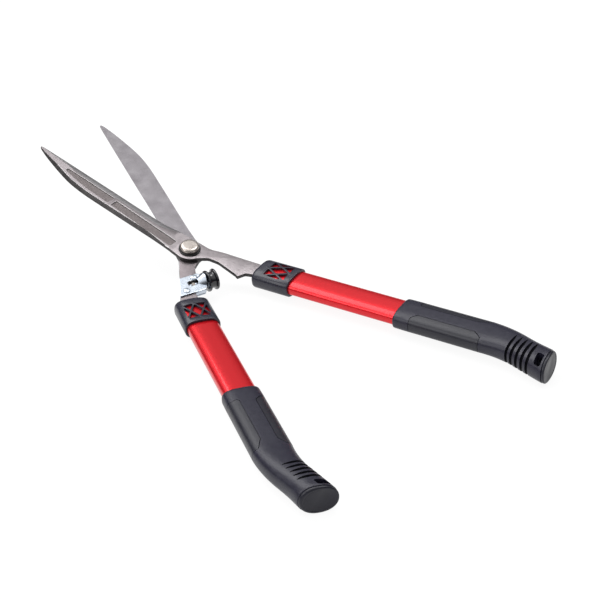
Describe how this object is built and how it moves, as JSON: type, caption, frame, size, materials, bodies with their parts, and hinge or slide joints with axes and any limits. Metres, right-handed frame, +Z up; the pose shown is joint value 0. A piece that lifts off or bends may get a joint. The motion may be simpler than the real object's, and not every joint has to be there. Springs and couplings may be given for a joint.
{
  "type": "hedge shears",
  "caption": "Two-handed garden hedge shears: long straight blades on a pivot bolt, cranked oval tube handles with moulded grips, and a rubber buffer on a riveted bracket.",
  "frame": {"origin": "On the floor, under the middle of the tool's bounding box, with the tool lying as in the picture.", "axes": "+Y runs from the grips towards the blade tips, +Z is up, +X is to the right of someone who looks along +Y. The handles lie level and the blades rise forwards by 14.25 degrees."},
  "size_m": [0.3026, 0.6296, 0.0937],
  "materials": {
    "blade_lower": "forged, ground and brushed",
    "blade_upper": "forged, ground and brushed",
    "bracket_bottom": "bright zinc plate",
    "bracket_rivet_1": "bright zinc plate",
    "bracket_rivet_2": "bright zinc plate",
    "bracket_top": "bright zinc plate",
    "buffer_nut": "bright zinc plate",
    "buffer_rubber": "glossy black",
    "buffer_stud": "bright zinc plate",
    "collar_lower": "fine moulded texture",
    "collar_upper": "fine moulded texture",
    "grip_cap_lower": "fine moulded texture",
    "grip_cap_upper": "fine moulded texture",
    "grip_inlay_inner_lower": "soft satin",
    "grip_inlay_inner_upper": "soft satin",
    "grip_inlay_outer_lower": "soft satin",
    "grip_inlay_outer_upper": "soft satin",
    "grip_lower": "fine moulded texture",
    "grip_upper": "fine moulded texture",
    "head_washer": "blackened",
    "lock_nut": "bright zinc plate",
    "pivot_bolt": "satin nickel plate",
    "spring_washer": "bright zinc plate",
    "tang_plug_lower": "fine moulded texture",
    "tang_plug_upper": "fine moulded texture",
    "tube_lower": "metallic red lacquer",
    "tube_upper": "metallic red lacquer"
  },
  "bodies": {
    "lower_half": {"blade_lower": "blade_lower", "bracket_bottom": "bracket_bottom", "bracket_rivet_1": "bracket_rivet_1", "bracket_rivet_2": "bracket_rivet_2", "bracket_top": "bracket_top", "buffer_nut": "buffer_nut", "buffer_rubber": "buffer_rubber", "buffer_stud": "buffer_stud", "collar_lower": "collar_lower", "grip_cap_lower": "grip_cap_lower", "grip_inlay_inner_lower": "grip_inlay_inner_lower", "grip_inlay_outer_lower": "grip_inlay_outer_lower", "grip_lower": "grip_lower", "head_washer": "head_washer", "lock_nut": "lock_nut", "pivot_bolt": "pivot_bolt", "spring_washer": "spring_washer", "tang_plug_lower": "tang_plug_lower", "tube_lower": "tube_lower"},
    "upper_half": {"blade_upper": "blade_upper", "collar_upper": "collar_upper", "grip_cap_upper": "grip_cap_upper", "grip_inlay_inner_upper": "grip_inlay_inner_upper", "grip_inlay_outer_upper": "grip_inlay_outer_upper", "grip_upper": "grip_upper", "tang_plug_upper": "tang_plug_upper", "tube_upper": "tube_upper"}
  },
  "joints": [
    {"name": "pivot", "type": "hinge", "parent": "lower_half", "child": "upper_half", "pos_m": [0, 0.08204, 0.03349], "axis": [0, -0.2462, 0.9692], "range_deg": [-18, 52]}
  ]
}
